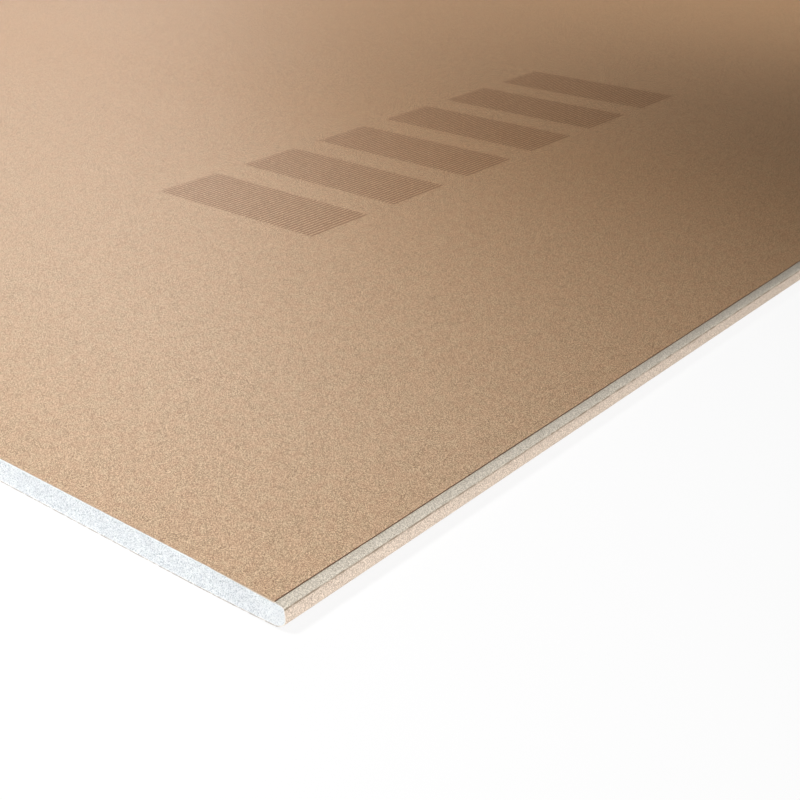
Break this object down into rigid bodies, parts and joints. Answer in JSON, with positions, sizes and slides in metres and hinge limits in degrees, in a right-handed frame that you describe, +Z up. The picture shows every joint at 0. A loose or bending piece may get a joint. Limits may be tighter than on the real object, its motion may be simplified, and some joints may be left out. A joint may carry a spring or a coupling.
{
  "type": "drywall sheet",
  "caption": "Full gypsum board with tapered half-round long edges and square cut ends, stored on its face with the brown back side up.",
  "frame": {"origin": "middle of the face side, on the level surface that the sheet lies on", "axes": "+X across the width, +Y along the length and the long edges, +Z up through the thickness, out of the brown back side"},
  "size_m": [1.2, 2.5, 0.0125],
  "materials": {
    "gypsum": "matte, finely porous cast gypsum, cool white with grey specks",
    "face_liner": "matte ivory recycled-fibre liner",
    "back_liner": "matte brown kraft liner with a fine mottled grain"
  },
  "bodies": {
    "root": {"gypsum_core": "gypsum", "face_paper": "face_liner", "back_paper": "back_liner"}
  },
  "joints": []
}
